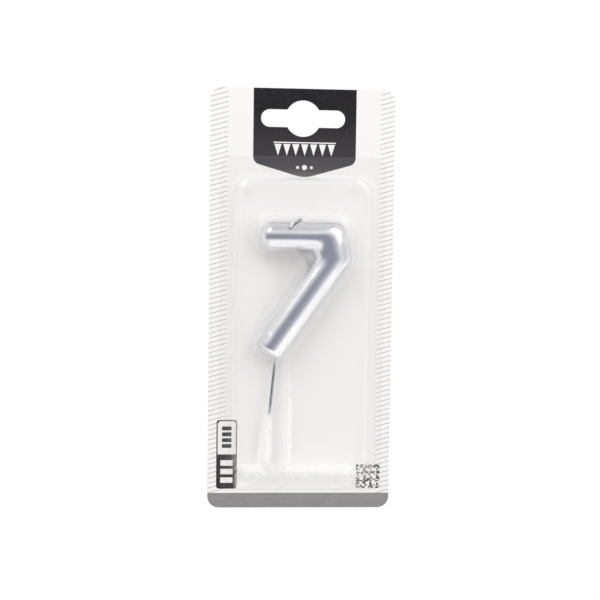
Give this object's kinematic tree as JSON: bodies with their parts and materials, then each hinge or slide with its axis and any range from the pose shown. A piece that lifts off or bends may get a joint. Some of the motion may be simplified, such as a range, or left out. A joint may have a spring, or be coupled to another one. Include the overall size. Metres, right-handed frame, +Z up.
{
  "type": "number birthday candle",
  "caption": "Silver number candle shaped as a seven, with a folded wick and a cake pick, sealed under a clear blister on a hang card.",
  "frame": {"origin": "centre of the hang slot, on the card's back face", "axes": "+X to the right and +Z up on the card, +Y out of the card's back; the candle and blister are towards -Y"},
  "size_m": [0.08, 0.0143, 0.183],
  "materials": {
    "card_board": "coated white board",
    "dark_ink": "satin ink",
    "white_ink": "satin ink",
    "silver_ink": "silver-grey ink",
    "striped_ink": "fine slanting stripes",
    "seal_coat": "clear sealing coat",
    "clear_film": "clear thermoformed film",
    "silver_wax": "silver metallic lacquer over wax",
    "wick_yarn": "braided yarn with silver lacquer",
    "pick_steel": "dark polished rod"
  },
  "bodies": {
    "card": {"backing_card": "card_board", "header_print": "dark_ink", "header_ornament": "white_ink", "footer_print": "silver_ink", "hatch_print_left": "striped_ink", "hatch_print_right": "striped_ink", "size_tag_print": "dark_ink", "code_print": "dark_ink", "heat_seal": "seal_coat"},
    "blister": {"blister_shell": "clear_film"},
    "candle": {"wax_body": "silver_wax", "wick_core": "wick_yarn", "pick": "pick_steel"},
    "wick": {"wick_tip": "wick_yarn"}
  },
  "joints": [
    {"name": "blister_peel", "type": "hinge", "parent": "card", "child": "blister", "pos_m": [0, -0.0011, -0.1623], "axis": [1, 0, 0], "range_deg": [0, 120]},
    {"name": "candle_out", "type": "slide", "parent": "card", "child": "candle", "axis": [0, -1, 0], "range_m": [0, 0.0252]},
    {"name": "wick_straighten", "type": "hinge", "parent": "candle", "child": "wick", "pos_m": [-0.0007, -0.0065, -0.0427], "axis": [-0.7771, 0.6293, 0], "range_deg": [0, 120.5]}
  ],
  "couplings": [
    {"joint": "candle_out", "follows": "blister_peel", "m_per_rad": 0.012},
    {"joint": "wick_straighten", "follows": "blister_peel", "ratio": 1}
  ]
}
